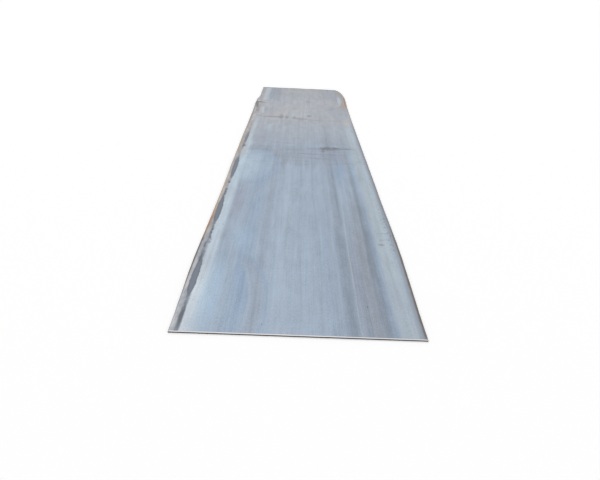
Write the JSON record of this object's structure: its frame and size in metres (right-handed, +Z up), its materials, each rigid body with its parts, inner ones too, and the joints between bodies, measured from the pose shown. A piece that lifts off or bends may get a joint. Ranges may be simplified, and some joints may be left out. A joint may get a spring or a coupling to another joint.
{
  "type": "steel plate",
  "caption": "Flat hot-rolled steel plate cut from a coil tail, with rolled long edges, sheared ends, a wavy left edge, a long round corner and a creased corner.",
  "frame": {"origin": "middle of the plate's box, on the level surface the plate lies on", "axes": "+Z up out of the top face, +Y along the length from the straight sheared end to the coil-tail end, +X across the width towards the edge with the long round corner"},
  "size_m": [1.524, 6, 0.023],
  "materials": {
    "mill_scale": "hot-rolled mill scale, blue-grey with lengthwise cooling bands, dull satin"
  },
  "bodies": {
    "root": {"plate": "mill_scale"}
  },
  "joints": []
}
